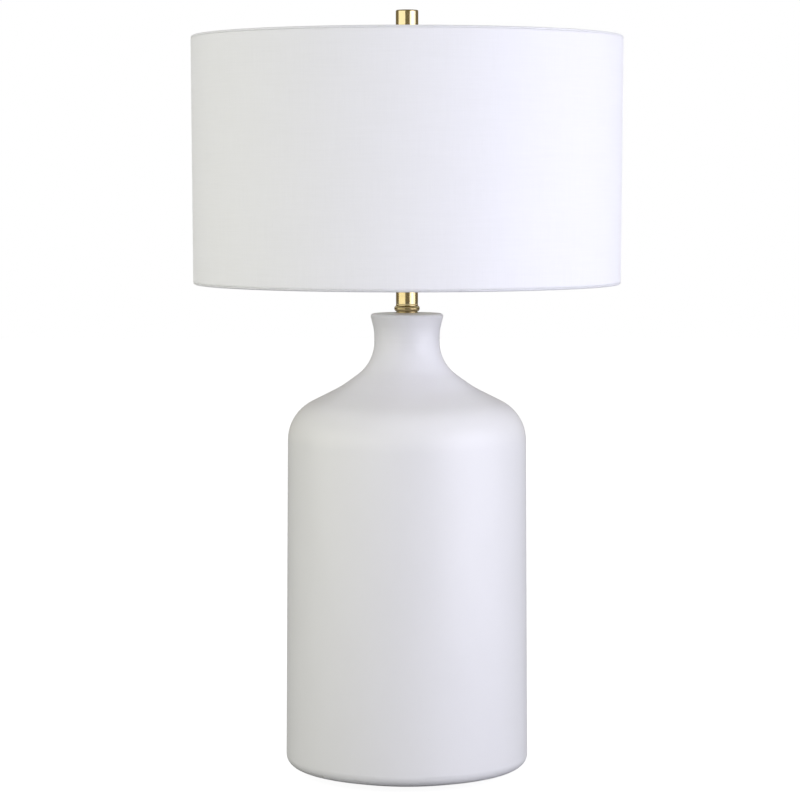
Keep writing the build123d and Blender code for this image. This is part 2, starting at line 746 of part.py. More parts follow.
def bulb_globe():
    """The opal globe: a spherical cap that stands on the collar."""
    inner_radius = GLOBE_RADIUS - GLOBE_WALL
    ball = Sphere(GLOBE_RADIUS) - Sphere(inner_radius)
    shape = Pos(0, 0, globe_centre_z) * ball
    past_top = globe_centre_z + GLOBE_RADIUS + CUT_PAST
    keep = disc(GLOBE_RADIUS + CUT_PAST, globe_mouth_z, past_top)
    return shape & keep


def bulb_led_board():
    """The round board with its ring of emitters, on a ledge in the collar's mouth."""
    radius = globe_mouth_radius - COLLAR_WALL - SLIDING_CLEARANCE
    low = globe_mouth_z - LED_BOARD_THICKNESS
    shape = disc(radius, low, globe_mouth_z)
    half = LED_SIZE / 2
    emitter = block((-half, -half, globe_mouth_z), (half, half, globe_mouth_z + LED_HEIGHT))
    for place in PolarLocations(radius - LED_RING_INSET, LED_COUNT):
        shape += place * emitter
    return shape


# ---- Shade ----
shade_taper = math.atan2(SHADE_TOP_RADIUS - SHADE_BOTTOM_RADIUS, SHADE_HEIGHT)


def inside_wall(height, depth):
    """Radius of the surface that lies a depth inside the shade's outer face, at a height."""
    radius = SHADE_BOTTOM_RADIUS + (height - shade_bottom_z) * math.tan(shade_taper)
    return radius - depth / math.cos(shade_taper)


ring_inset = FABRIC + WRAP_CLEARANCE + RING_WIRE_RADIUS
top_ring_z = shade_top_z - ring_inset
bottom_ring_z = shade_bottom_z + ring_inset
top_ring_radius = inside_wall(top_ring_z, LINER + ring_inset)
bottom_ring_radius = inside_wall(bottom_ring_z, LINER + ring_inset)
top_hem_radius = top_ring_radius - ring_inset
bottom_hem_radius = bottom_ring_radius - ring_inset


def ring_wire(radius, height):
    return Pos(0, 0, height) * Torus(radius, RING_WIRE_RADIUS)


def arm_wire(wire_radius):
    """One spider arm, from the hub out along +X and up to the top ring."""
    hub_z = hub_top_z - HUB_DISC_THICKNESS / 2
    points = [
        (HUB_DISC_RADIUS, 0, hub_z),
        (top_ring_radius - SPIDER_BEND_START, 0, hub_z),
        (top_ring_radius - SPIDER_BEND_END, 0, top_ring_z),
        (top_ring_radius, 0, top_ring_z),
    ]
    return wire_along(points, [SPIDER_FILLET, SPIDER_FILLET], wire_radius)


def spider_places():
    """The first arm points to the rear."""
    return PolarLocations(0, SPIDER_ARMS, start_angle=90)


def spider_arms():
    arm = arm_wire(SPIDER_WIRE_RADIUS) - ring_wire(top_ring_radius, top_ring_z)
    hub = disc(HUB_DISC_RADIUS, stud_seat_z, hub_top_z)
    return copies(arm - hub, spider_places())


def spider_hub():
    return lathe(
        [
            (stud_hole_radius, stud_seat_z, 0),
            (HUB_DISC_RADIUS, stud_seat_z, HUB_DISC_EDGE),
            (HUB_DISC_RADIUS, hub_top_z, HUB_DISC_EDGE),
            (stud_hole_radius, hub_top_z, 0),
        ]
    )


def shade_fabric():
    """The linen, rolled over both ring wires, with a hole in the hem for each spider arm."""
    hem = ring_inset * 2
    chain = [
        (bottom_hem_radius, shade_bottom_z + hem, 0),
        (bottom_hem_radius, shade_bottom_z, ring_inset),
        (SHADE_BOTTOM_RADIUS, shade_bottom_z, ring_inset),
        (SHADE_TOP_RADIUS, shade_top_z, ring_inset),
        (top_hem_radius, shade_top_z, ring_inset),
        (top_hem_radius, shade_top_z - hem, 0),
    ]
    shape = sheet_lathe(chain, FABRIC)
    inner_end = (top_hem_radius - ring_inset, 0, top_ring_z)
    outer_end = (top_ring_radius, 0, top_ring_z)
    hole = bar(inner_end, outer_end, SPIDER_WIRE_RADIUS + SLIDING_CLEARANCE)
    for place in spider_places():
        shape -= place * hole
    return shape


def shade_liner():
    """The styrene backing the linen is laminated to."""
    wall = [(inside_wall(height, 0), height, 0) for height in (bottom_ring_z, top_ring_z)]
    return sheet_lathe(inset(wall, FABRIC), LINER)


# ---- Finial ----
def finial_core():
    """The threaded insert that runs on the stud."""
    shape = disc(core_radius, hub_top_z, hub_top_z + CORE_LENGTH)
    return shape - disc(core_bore, hub_top_z, stud_seat_z + STUD_LENGTH + CORE_CLEARANCE)


def finial_cap():
    """The turned brass cylinder, bored from below for the insert."""
    top_z = hub_top_z + FINIAL_HEIGHT
    bore = core_radius + CORE_CLEARANCE
    bore_top_z = hub_top_z + CORE_LENGTH + CORE_CLEARANCE
    return lathe(
        [
            (bore, hub_top_z, 0),
            (FINIAL_RADIUS, hub_top_z, FINIAL_FOOT_EDGE),
            (FINIAL_RADIUS, top_z, FINIAL_EDGE),
            (0, top_z, 0),
            (0, bore_top_z, 0),
            (bore, bore_top_z, 0),
        ]
    )


# ---- Every sub-part, under the name of its node ----
PARTS = {
    "ceramic_body": ceramic_body(),
    "foot_pads": foot_pads(),
    "cord_bushing": cord_bushing(),
    "threaded_rod": tube(ROD_RADIUS, ROD_BORE_RADIUS, rod_bottom_z, rod_top_z),
    "bottom_rubber_washer": tube(RUBBER_WASHER_RADIUS, thread_hole_radius, washer_z, recess_z),
    "bottom_steel_washer": tube(STEEL_WASHER_RADIUS, thread_hole_radius, steel_washer_z, washer_z),
    "bottom_lock_washer": lock_washer(),
    "bottom_nut": hex_nut(nut_across_flats, nut_z, lock_washer_z),
    "neck_ring": neck_ring(),
    "neck_tube": neck_tube(),
    "harp_saddle": harp_saddle(),
    "top_nut": hex_nut(nut_across_flats, saddle_top_z, socket_z),
    "socket_cap": socket_cap(),
    "socket_set_screw": socket_set_screw(),
    "socket_shell": socket_shell(),
    "socket_liner": socket_liner(),
    "socket_block": socket_block(),
    "terminal_screws": terminal_screws(),
    "socket_screw_shell": socket_screw_shell(),
    "centre_contact": centre_contact(),
    "switch_shaft": switch_shaft(),
    "switch_knob": switch_knob(),
    "bulb_tip_contact": bulb_tip_contact(),
    "bulb_insulator": bulb_insulator(),
    "bulb_screw_shell": bulb_screw_shell(),
    "bulb_collar": bulb_collar(),
    "bulb_led_board": bulb_led_board(),
    "bulb_globe": bulb_globe(),
    "harp_bow": harp_bow(),
    "harp_ferrule_left": harp_ferrule(-1),
    "harp_ferrule_right": harp_ferrule(1),
    "harp_stud": harp_stud(),
    "shade_top_ring": ring_wire(top_ring_radius, top_ring_z),
    "shade_bottom_ring": ring_wire(bottom_ring_radius, bottom_ring_z),
    "spider_hub": spider_hub(),
    "spider_arms": spider_arms(),
    "shade_liner": shade_liner(),
    "shade_fabric": shade_fabric(),
    "finial_core": finial_core(),
    "finial_cap": finial_cap(),
}

os.makedirs("parts", exist_ok=True)
for node, shape in PARTS.items():
    save(node, shape)
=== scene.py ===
# %% [markdown]
# # A ceramic table lamp with a linen drum shade
#
# The lamp is a white glazed bottle on four felt pads. A brass tube stands on its lip and hides the
# lamp pipe. Under the shade are a turn-knob socket, a bulb, and a wire harp whose stud carries the
# shade, and a brass cylinder screws down on top of it all. The working model is already made and is
# loaded here as a fixed frame: nothing in it is moved or resized. This notebook gives each visible
# surface its finish, and remakes the few pieces whose charm is in fine detail, such as rolled
# hems, screw threads and welds.

# %% Load the frame
import json
import math
import random

import bmesh
import bpy
from mathutils import Matrix, Vector


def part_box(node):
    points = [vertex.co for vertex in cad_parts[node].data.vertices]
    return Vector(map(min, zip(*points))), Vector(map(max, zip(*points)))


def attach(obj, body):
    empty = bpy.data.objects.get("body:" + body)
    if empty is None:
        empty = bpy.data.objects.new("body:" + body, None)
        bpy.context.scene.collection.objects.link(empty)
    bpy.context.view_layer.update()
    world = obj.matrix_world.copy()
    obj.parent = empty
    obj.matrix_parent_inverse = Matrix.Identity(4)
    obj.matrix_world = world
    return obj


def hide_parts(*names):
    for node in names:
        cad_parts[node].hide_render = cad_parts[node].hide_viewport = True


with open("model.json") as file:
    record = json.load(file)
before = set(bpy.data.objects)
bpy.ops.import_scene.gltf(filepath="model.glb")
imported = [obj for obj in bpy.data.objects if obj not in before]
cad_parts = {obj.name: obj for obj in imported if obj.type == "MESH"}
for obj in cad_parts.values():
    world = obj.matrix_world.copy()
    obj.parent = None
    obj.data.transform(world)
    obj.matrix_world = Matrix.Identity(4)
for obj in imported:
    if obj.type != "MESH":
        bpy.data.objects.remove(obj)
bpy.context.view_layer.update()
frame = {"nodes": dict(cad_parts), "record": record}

# %% [markdown]
# ## The camera
#
# The lamp is seen from a few metres away through a long lens, so that its sides stay almost
# parallel. The camera stands a little above the shade's lower edge and looks slightly down, which
# turns that edge into a shallow curve and leaves the inside of the shade out of sight. A sensor of
# 36 mm is Blender's usual one, and the lens is then given in millimetres, as on a real camera.

# %% Set up the camera
CAMERA_LENS_MM = 125.55
CAMERA_DISTANCE = 2.596
CAMERA_HEIGHT = 0.5566
CAMERA_ASIDE = -0.0065
CAMERA_TILT_DOWN = math.radians(4.556)

camera_data = bpy.data.cameras.new("studio_camera")
camera_data.lens = CAMERA_LENS_MM
camera_data.sensor_width = 36
camera = bpy.data.objects.new("studio_camera", camera_data)
camera.location = (CAMERA_ASIDE, -CAMERA_DISTANCE, CAMERA_HEIGHT)
camera.rotation_euler = (math.pi / 2 - CAMERA_TILT_DOWN, 0, 0)
bpy.context.scene.collection.objects.link(camera)
bpy.context.scene.camera = camera
print("camera at", [round(v, 3) for v in camera.location])

# %% [markdown]
# ## Shader maths as Python
#
# A finish is a small network of nodes, and a network is easier to read as an expression. The class
# Wire wraps one output socket and overloads the arithmetic operators, so that `1 - mask` or
# `height * 0.5 + noise` adds its nodes. Numbers go through Math nodes. Colours go through Mix and
# vectors through Vector Math, since a Math node would turn a colour grey. The class Graph holds a
# node tree, and its `node` method is the only place where any other kind of node is made: it takes
# the node's type, its settings, which go in first, and then what its sockets get.

# %% Define Wire and Graph


class Wire:
    """An output socket that Python's operators can work on."""

    def __init__(self, graph, socket):
        self.graph, self.socket = graph, socket

    def work(self, operation, *values):
        """A node that works on these values, and suits the kind of the first wire among them."""
        kinds = {value.socket.type for value in values if isinstance(value, Wire)}
        if "RGBA" in kinds:
            settings = {"data_type": "RGBA", "blend_type": operation}
            return self.graph.node("ShaderNodeMix", settings, {0: 1.0, 6: values[0], 7: values[1]}, output=2)
        kind = "ShaderNodeVectorMath" if "VECTOR" in kinds else "ShaderNodeMath"
        return self.graph.node(kind, {"operation": operation}, values)

    def __add__(self, other):
        return self.work("ADD", self, other)

    def __sub__(self, other):
        return self.work("SUBTRACT", self, other)

    def __rsub__(self, other):
        return self.work("SUBTRACT", other, self)

    def __mul__(self, other):
        return self.work("MULTIPLY", self, other)

    def __truediv__(self, other):
        return self.work("DIVIDE", self, other)

    def __gt__(self, other):
        return self.work("GREATER_THAN", self, other)

    def __lt__(self, other):
        return self.work("LESS_THAN", self, other)

    def __abs__(self):
        return self.work("ABSOLUTE", self)

    def sine(self):
        return self.work("SINE", self)

    def root(self):
        return self.work("SQRT", self)

    def taller(self, other):
        return self.work("MAXIMUM", self, other)

    def number(self):
        """A grey colour as a number."""
        return self.graph.node("ShaderNodeSeparateColor", None, [self])

    __radd__, __rmul__ = __add__, __mul__


class Graph:
    """A node tree, and the one way to add to it."""

    def __init__(self, tree):
        self.tree = tree

    def feed(self, node, label, value):
        """Puts a number, a colour, a vector or a wire into a node's socket."""
        socket = node.inputs[label]
        if isinstance(value, Wire):
            self.tree.links.new(value.socket, socket)
        elif socket.type == "RGBA":
            colour = value[:3] if isinstance(value, tuple) else (value, value, value)
            socket.default_value = (*colour, 1.0)
        elif socket.type == "VECTOR" and not isinstance(value, tuple):
            socket.default_value = (value, value, value)
        else:
            socket.default_value = value

    def node(self, kind, settings=None, values=(), output=0):
        """Adds a node: its settings first, then its sockets by place or by name."""
        made = self.tree.nodes.new(kind)
        for label, value in (settings or {}).items():
            if label == "stops":
                self.set_stops(made.color_ramp, value)
            else:
                setattr(made, label, value)
        for label, value in values.items() if isinstance(values, dict) else enumerate(values):
            self.feed(made, label, value)
        return Wire(self, made.outputs[output])

    def set_stops(self, ramp, stops):
        """Gives a ramp its stops, as (place, grey) pairs."""
        while len(ramp.elements) < len(stops):
            ramp.elements.new(1.0)
        for element, (place, grey) in zip(ramp.elements, stops):
            element.position, element.color = place, (grey, grey, grey, 1.0)

    def mix(self, factor, first, second):
        """A colour between two colours."""
        return self.node("ShaderNodeMix", {"data_type": "RGBA"}, {0: factor, 6: first, 7: second}, output=2)

    def split(self, point):
        """A vector's X, Y and Z."""
        parts = self.node("ShaderNodeSeparateXYZ", values=[point]).socket.node
        return [Wire(self, parts.outputs[axis]) for axis in "XYZ"]


print("shader maths ready")

# %% [markdown]
# A finish is a graph that ends in the Principled shader. Most patterns on a lamp follow the object
# itself, so their coordinates are metres on the piece. The cloth is the exception: its weave follows
# the flat cloth through a UV layer. A constant is set on the shader's own socket, and only what
# changes over the surface is wired.

# %% Define Finish


class Finish(Graph):
    """A material with a Principled shader, and short ways to feed it."""

    def __init__(self, name, **constants):
        self.material = bpy.data.materials.new(name)
        self.material.use_nodes = True
        super().__init__(self.material.node_tree)
        self.shader = self.tree.nodes["Principled BSDF"]
        for label, value in constants.items():
            self.shade(label.replace("_", " ").title().replace("Ior", "IOR"), value)

    def shade(self, label, value):
        """Feeds the Principled shader."""
        self.feed(self.shader, label, value)

    def place(self):
        """Where a point lies on the piece, in metres, as X, Y and Z wires."""
        return self.split(self.node("ShaderNodeTexCoord", output="Object"))

    def noise(self, x, y, z, detail=2.0):
        """Noise from 0 to 1, at a place given in units of its own grain."""
        place = self.node("ShaderNodeCombineXYZ", values=[x, y, z])
        return self.node("ShaderNodeTexNoise", {"noise_dimensions": "3D"},
                         {"Vector": place, "Scale": 1.0, "Detail": detail, "Roughness": 0.55})

    def ramp(self, factor, *stops):
        """A number that follows a ramp's (place, number) stops."""
        return self.node("ShaderNodeValToRGB", {"stops": stops}, [factor]).number()

    def bump(self, height, distance, strength=1.0):
        """Raises the surface by height times distance, in metres."""
        values = {"Height": height, "Distance": distance, "Strength": strength}
        self.shade("Normal", self.node("ShaderNodeBump", None, values))


print("finish ready")

# %% [markdown]
# ## The studio
#
# Two tall softboxes stand left and right of the lamp, turned towards it. The right one is cooler and
# stronger, and as in most softboxes its cloth is brightest over the tube behind it, which is a
# second, narrower light here. Polished brass is a mirror, so the strips that shine on it are the
# softboxes, and the dark between them is the unlit room in front: that is how studio light draws a
# round tube. A scrim near the camera fills the front, and shows in no mirror. The world does the
# rest, told apart by the Light Path node: the lens sees plain white, mirrors get the dim room, and
# matt surfaces get bright walls near the horizon, a darker ceiling, and a scrim right overhead. The
# scrim shines down through the open top of the shade, so that the neck and the shoulder under it
# aren't left in gloom.

# %% Build the softboxes and the world
SOFTBOX_DISTANCE = 1.30
SOFTBOX_TALL = 1.3
SOFTBOX_CENTRE = 0.40
WALLS = (1.0, 1.02, 1.13)
CEILING = (0.59, 0.59, 0.47)
OVERHEAD = (0.33, 0.30, 0.52)
ROOM = (0.17, 0.143, 0.094)
WHITE = (1.0, 1.0, 1.0)
CEILING_EDGE = math.sin(math.radians(20))
OVERHEAD_EDGE = math.sin(math.radians(58))


def softbox(name, azimuth, width, power, colour):
    """A rectangular light that faces the lamp, at an angle in degrees from the camera's side."""
    data = bpy.data.lights.new(name, "AREA")
    data.shape = "RECTANGLE"
    data.size, data.size_y = width, SOFTBOX_TALL
    data.energy, data.color = power, colour
    light = bpy.data.objects.new(name, data)
    turn = math.radians(azimuth)
    light.location = (SOFTBOX_DISTANCE * math.sin(turn), -SOFTBOX_DISTANCE * math.cos(turn), SOFTBOX_CENTRE)
    light.rotation_euler = (math.pi / 2, 0, turn)
    light.visible_camera = False
    bpy.context.scene.collection.objects.link(light)
    return light


key = softbox("key_softbox", azimuth=62, width=1.69, power=11.1, colour=(0.893, 0.892, 1.0))
fill = softbox("fill_softbox", azimuth=-57, width=2.07, power=8.3, colour=(1.0, 0.985, 0.881))
front = softbox("front_scrim", azimuth=35, width=1.4, power=3.2, colour=(0.569, 0.539, 1.0))
core = softbox("key_core", azimuth=58, width=0.5, power=1.7, colour=(0.797, 0.802, 1.0))
front.visible_glossy = False

world = bpy.data.worlds.new("studio")
world.use_nodes = True
bpy.context.scene.world = world
sky = Graph(world.node_tree)
heading = sky.split(sky.node("ShaderNodeTexCoord", output="Generated"))
surroundings = sky.mix(heading[2] > CEILING_EDGE, WALLS, CEILING)
surroundings = sky.mix(heading[2] > OVERHEAD_EDGE, surroundings, OVERHEAD)
surroundings = sky.mix(sky.node("ShaderNodeLightPath", output="Is Glossy Ray"), surroundings, ROOM)
surroundings = sky.mix(sky.node("ShaderNodeLightPath", output="Is Camera Ray"), surroundings, WHITE)
sky.feed(world.node_tree.nodes["Background"], "Color", surroundings)

bpy.context.scene.view_settings.view_transform = "Standard"
bpy.context.scene.view_settings.look = "None"
print("lights:", key.name, fill.name, front.name, core.name)

# %% [markdown]
# ## The floor
#
# The lamp stands on a wide matt white floor. It is lit to just past white, so that it melts into
# the white behind it and keeps only the soft shadow that the foot presses into it.

# %% Make the floor
FLOOR_SIZE = 14.0

FLOOR_GLOW = 0.93

floor_finish = Finish("studio_floor", roughness=0.9, specular_ior_level=0.1, emission_strength=FLOOR_GLOW)
floor_x, floor_y, floor_z = floor_finish.place()
grain = floor_finish.noise(floor_x * 40, floor_y * 40, floor_z)
floor_finish.shade("Base Color", floor_finish.mix(grain, (0.24, 0.24, 0.24), (0.26, 0.26, 0.26)))
seen_directly = floor_finish.node("ShaderNodeLightPath")
floor_finish.shade("Emission Color", floor_finish.mix(seen_directly, (0.0, 0.0, 0.0), WHITE))
bpy.ops.mesh.primitive_plane_add(size=FLOOR_SIZE)
floor = bpy.context.object
floor.name = "studio_floor"
floor.data.materials.append(floor_finish.material)

# %% [markdown]
# ## Turned shapes
#
# Much of a lamp is turned: a profile spun round the upright axis. Blender has a Screw modifier for
# this, but a mesh written straight into arrays lets each point carry its own small difference, such
# as the climb of a thread. A profile is a list of (radius, height) points, and a corner can be
# rounded first by an arc.

# %% Define the turning helpers
MM = 0.001


def rounded(corners, steps=8):
    """A profile with its corners turned into arcs. A corner is (radius, height, fillet)."""
    points = []
    for index, (radius, height, fillet) in enumerate(corners):
        here = Vector((radius, height))
        if not fillet:
            points.append(here)
            continue
        back = (Vector(corners[index - 1][:2]) - here).normalized()
        ahead = (Vector(corners[(index + 1) % len(corners)][:2]) - here).normalized()
        half = back.angle(ahead) / 2
        centre = here + (back + ahead).normalized() * (fillet / math.sin(half))
        start = here + back * (fillet / math.tan(half)) - centre
        turn = start.angle_signed(here + ahead * (fillet / math.tan(half)) - centre)
        for step in range(steps + 1):
            points.append(centre + Matrix.Rotation(-turn * step / steps, 2) @ start)
    return points


def finish_mesh(name, vertices, faces, finish, body, replaced=(), centre=(0, 0), smooth_angle=40):
    """Makes a piece from vertices and faces, with its finish, its body and the nodes it replaces."""
    mesh = bpy.data.meshes.new(name)
    mesh.from_pydata([(x + centre[0], y + centre[1], z) for x, y, z in vertices], [], faces)
    work = bmesh.new()
    work.from_mesh(mesh)
    bmesh.ops.remove_doubles(work, verts=work.verts, dist=1e-6)
    bmesh.ops.recalc_face_normals(work, faces=work.faces)
    work.to_mesh(mesh)
    work.free()
    piece = bpy.data.objects.new(name, mesh)
    bpy.context.scene.collection.objects.link(piece)
    mesh.materials.append(finish.material)
    mesh.shade_smooth()
    mesh.set_sharp_from_angle(angle=math.radians(smooth_angle))
    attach(piece, body)
    if replaced:
        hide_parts(*replaced)
    return piece


def turned(profile, steps, closed=True, shape=None):
    """Vertices and faces of a profile spun round Z. shape takes (radius, angle, z) to a new (radius, z)."""
    vertices, count = [], len(profile)
    for step in range(steps):
        angle = 2 * math.pi * step / steps
        for radius, height in profile:
            if shape:
                radius, height = shape(radius, angle, height)
            vertices.append((radius * math.cos(angle), radius * math.sin(angle), height))
    faces = []
    for step in range(steps):
        near, far = step * count, (step + 1) % steps * count
        for index in range(count if closed else count - 1):
            after = (index + 1) % count
            faces.append((near + index, far + index, far + after, near + after))
    return vertices, faces


print("turning helpers ready")

# %% [markdown]
# ## Linen
#
# The shade is a flat cloth laminated to white styrene. Linen is a plain weave: warp and weft pass
# over and under each other by turns, about eighteen threads to the centimetre, and its threads
# swell here and there into slubs. Two sine waves give the threads, and their product says which one
# lies on top. Noise that is stretched a hundredfold along one direction gives the slubs. All of it
# is worked out in metres on the flat cloth, so the weave keeps its size round the hems. A band near
# each hem is darkened in the colour: painted shade for the cloth rolling over the ring.

# %% Mix the linen finish
THREAD_PITCH = 0.55 * MM
SLUB_LENGTH = 38 * MM
SLUB_WIDTH = 0.8 * MM
CLOTH_LIGHT = (0.93, 0.932, 0.928)
CLOTH_SHADE = (0.865, 0.868, 0.86)
HEM_BAND = 5.9 * MM


def linen_finish(flat_height):
    """The woven cloth. flat_height is the cloth's height before its hems are rolled."""
    cloth = Finish("woven_linen", roughness=0.86, specular_ior_level=0.2, sheen_weight=0.12,
                   sheen_roughness=0.45)
    across, up, _ = cloth.split(cloth.node("ShaderNodeUVMap", {"uv_map": "cloth"}))
    warp = (across * (math.pi / THREAD_PITCH)).sine()
    weft = (up * (math.pi / THREAD_PITCH)).sine()
    on_top = warp * weft * 0.5 + 0.5
    threads = (abs(warp) * on_top).taller(abs(weft) * (1 - on_top))
    slub_up = cloth.noise(across / SLUB_WIDTH, up / SLUB_LENGTH, 3.1)
    slub_across = cloth.noise(across / SLUB_LENGTH, up / SLUB_WIDTH, 8.7)
    slubs = cloth.ramp(slub_up * 0.5 + slub_across * 0.5, (0.34, 0.0), (0.68, 1.0))
    cloud = cloth.noise(across / (60 * MM), up / (60 * MM), 1.0)
    tone = slubs * 0.45 + threads * 0.3 + cloud * 0.25
    linen = cloth.mix(tone, CLOTH_SHADE, CLOTH_LIGHT)
    # The darker band near each hem is painted shade for the rolled edge, mixed into the cloth's colour.
    edge = abs(up - flat_height / 2)
    painted_hem_shade = cloth.ramp((edge - (flat_height / 2 - HEM_BAND - 4.6 * MM)) / (1.5 * MM), (0.0, 0.0), (1.0, 1.0))
    cloth.shade("Base Color", cloth.mix(painted_hem_shade * 0.5, linen, (0.82, 0.823, 0.825)))
    cloth.shade("Roughness", 0.92 - threads * 0.12)
    cloth.bump(threads * 0.7 + slubs * 0.3, 0.12 * MM, 0.8)
    return cloth


print("linen: threads", round(10 * MM / THREAD_PITCH), "to the centimetre")

# %% [markdown]
# ## The shade's cloth
#
# The cloth is one rectangle. It is rolled round the drum, its last edge is folded under and glued
# down over its first edge at the rear, and its top and bottom are turned over the ring wires. A
# cloth simulation would only blur this, since glued cloth has no drape, so the sheet is built as a
# grid: along one way the plan of the wrap with its folded lap, along the other the profile of the
# wall with its two rolled hems. A row of small cuts in the top hem lets the spider's arms through.

# %% Cut and roll the linen
CLOTH_THICKNESS = 0.5 * MM
RING_INSET = 2.12 * MM
LAMINATE = 1.0 * MM
HEM_TAIL = 3.6 * MM
HEM_GROOVE = 0.09 * MM
SEAM_ANGLE = math.radians(97)
LAP = 9 * MM
LAP_RISE = 1.04 * MM
ARM_ANGLES = [math.radians(90 + 120 * arm) for arm in range(3)]
NOTCH_HALF_WIDTH = 2.4 * MM
RING_WIRE_RADIUS = 1.6 * MM
GROOVE_DROP = 3.3 * MM
LAP_START = 3 * MM

cloth_low, cloth_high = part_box("shade_fabric")
top_radius = cloth_high.x
roll = RING_INSET - CLOTH_THICKNESS / 2


def hem_points(radius, height, up):
    """The rolled hem, from its wall side over the wire to the raw edge. up is -1 for the bottom one."""
    points = [(radius + LAMINATE / 2 + roll, height)]
    for step in range(1, 10):
        angle = math.pi * step / 10
        shift = LAMINATE / 2 * (1 + math.cos(angle)) / 2
        points.append((radius + shift + roll * math.cos(angle), height + up * roll * math.sin(angle)))
    points += [(radius - roll, height - up * HEM_TAIL * part / 3) for part in range(4)]
    return points


ring_low, ring_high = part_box("shade_top_ring")
top_hem = hem_points(ring_high.x - RING_WIRE_RADIUS, cloth_high.z - RING_INSET, 1)
ring_low, ring_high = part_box("shade_bottom_ring")
bottom_hem = hem_points(ring_high.x - RING_WIRE_RADIUS, cloth_low.z + RING_INSET, -1)
wall_top, wall_bottom = Vector(top_hem[0]), Vector(bottom_hem[0])
WALL_ROWS = 30
wall_points = []
for row in range(1, WALL_ROWS):
    share = row / WALL_ROWS
    share = share - 0.13 * math.sin(2 * math.pi * share)
    wall_points.append(tuple(wall_bottom.lerp(wall_top, share)))
groove_z = [cloth_high.z - GROOVE_DROP, cloth_low.z + GROOVE_DROP]
for level in groove_z:
    for part in (-1.2, -0.6, 0, 0.6, 1.2):
        share = (level + part * MM - wall_bottom.y) / (wall_top.y - wall_bottom.y)
        point = wall_bottom.lerp(wall_top, share)
        wall_points.append((point.x - HEM_GROOVE * math.cos(part * math.pi / 2.4) ** 2, point.y))
wall_points.sort(key=lambda point: point[1])
profile = bottom_hem[::-1] + wall_points + top_hem

girth = 2 * math.pi * top_radius
plan = []
for step in range(385):
    plan.append((step / 384 * (girth - LAP_START), 0.0))
for angle in ARM_ANGLES:
    along = (angle - SEAM_ANGLE) % (2 * math.pi) / (2 * math.pi) * girth
    plan += [(along - NOTCH_HALF_WIDTH, 0.0), (along + NOTCH_HALF_WIDTH, 0.0)]
plan.sort()
for step in range(1, 6):
    plan.append((girth - LAP_START + LAP_START * step / 5, LAP_RISE * (1 - math.cos(math.pi * step / 5)) / 2))
for step in range(1, 4):
    plan.append((girth + LAP * step / 3, LAP_RISE))
for step in range(1, 7):
    angle = math.pi * step / 6
    plan.append((girth + LAP + LAP_RISE / 4 * math.sin(angle), LAP_RISE * (0.75 + math.cos(angle) / 4)))
for step in range(1, 4):
    plan.append((girth + LAP - LAP * 0.7 * step / 3, LAP_RISE / 2))


def lengths(points):
    """How far along a line each of its points is."""
    run = [0.0]
    for start, end in zip(points, points[1:]):
        run.append(run[-1] + (Vector(end) - Vector(start)).length)
    return run


plan_run, profile_run = lengths(plan), lengths(profile)
normals = []
for index in range(len(profile)):
    before, after = Vector(profile[max(index - 1, 0)]), Vector(profile[min(index + 1, len(profile) - 1)])
    along = (after - before).normalized()
    normals.append(Vector((along.y, -along.x)))

cloth_points, cloth_faces, cloth_flat = [], [], []
for along, rise in plan:
    angle = SEAM_ANGLE + along / girth * 2 * math.pi
    for (radius, height), normal in zip(profile, normals):
        r, z = radius + normal.x * rise, height + normal.y * rise
        cloth_points.append((r * math.cos(angle), r * math.sin(angle), z))
rows = len(profile)
notch_row = rows - 9
for column in range(len(plan) - 1):
    middle = (plan[column][0] + plan[column + 1][0]) / 2
    at = SEAM_ANGLE + middle / girth * 2 * math.pi
    away = [abs((at - arm + math.pi) % (2 * math.pi) - math.pi) * top_radius for arm in ARM_ANGLES]
    cut = min(away) < NOTCH_HALF_WIDTH
    for row in range(rows - 1):
        if cut and row >= notch_row:
            continue
        first = column * rows + row
        cloth_faces.append((first, first + rows, first + rows + 1, first + 1))
        corners = ((column, row), (column + 1, row), (column + 1, row + 1), (column, row + 1))
        cloth_flat += [(plan_run[c], profile_run[r]) for c, r in corners]

cloth_mesh = bpy.data.meshes.new("linen_drum")
cloth_mesh.from_pydata(cloth_points, [], cloth_faces)
layer = cloth_mesh.uv_layers.new(name="cloth")
for loop, place in zip(layer.data, cloth_flat):
    loop.uv = place
cloth_mesh.shade_smooth()
linen = linen_finish(profile_run[-1])
cloth_mesh.materials.append(linen.material)
drum = bpy.data.objects.new("linen_drum", cloth_mesh)
bpy.context.scene.collection.objects.link(drum)
body_cloth = drum.modifiers.new("cloth_thickness", "SOLIDIFY")
body_cloth.thickness = CLOTH_THICKNESS
body_cloth.offset = 0
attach(drum, "shade")
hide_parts("shade_fabric")
print("flat cloth in mm:", round(1000 * plan_run[-1]), "by", round(1000 * profile_run[-1]))

# %% [markdown]
# ## Satin glaze
#
# The bottle is slip-cast white earthenware under a satin glaze. Satin means that a light shows as a
# soft upright glow and not as a sharp window, so the roughness is about a third. The glaze pools
# and thins a little as it runs, which changes its tone by a hair, and it has the faint waviness that
# potters call orange peel. A dipped pot is wiped clean where it stands in the kiln: inside the foot
# the bare biscuit shows, matt and slightly pink, along an uneven line.

# %% Mix the glaze
GLAZE_LIGHT = (0.848, 0.848, 0.837)
GLAZE_SHADE = (0.811, 0.811, 0.798)
BISCUIT = (0.69, 0.62, 0.545)
FOOT_LAND_RADIUS = 81.5 * MM
RECESS_TOP = 60 * MM

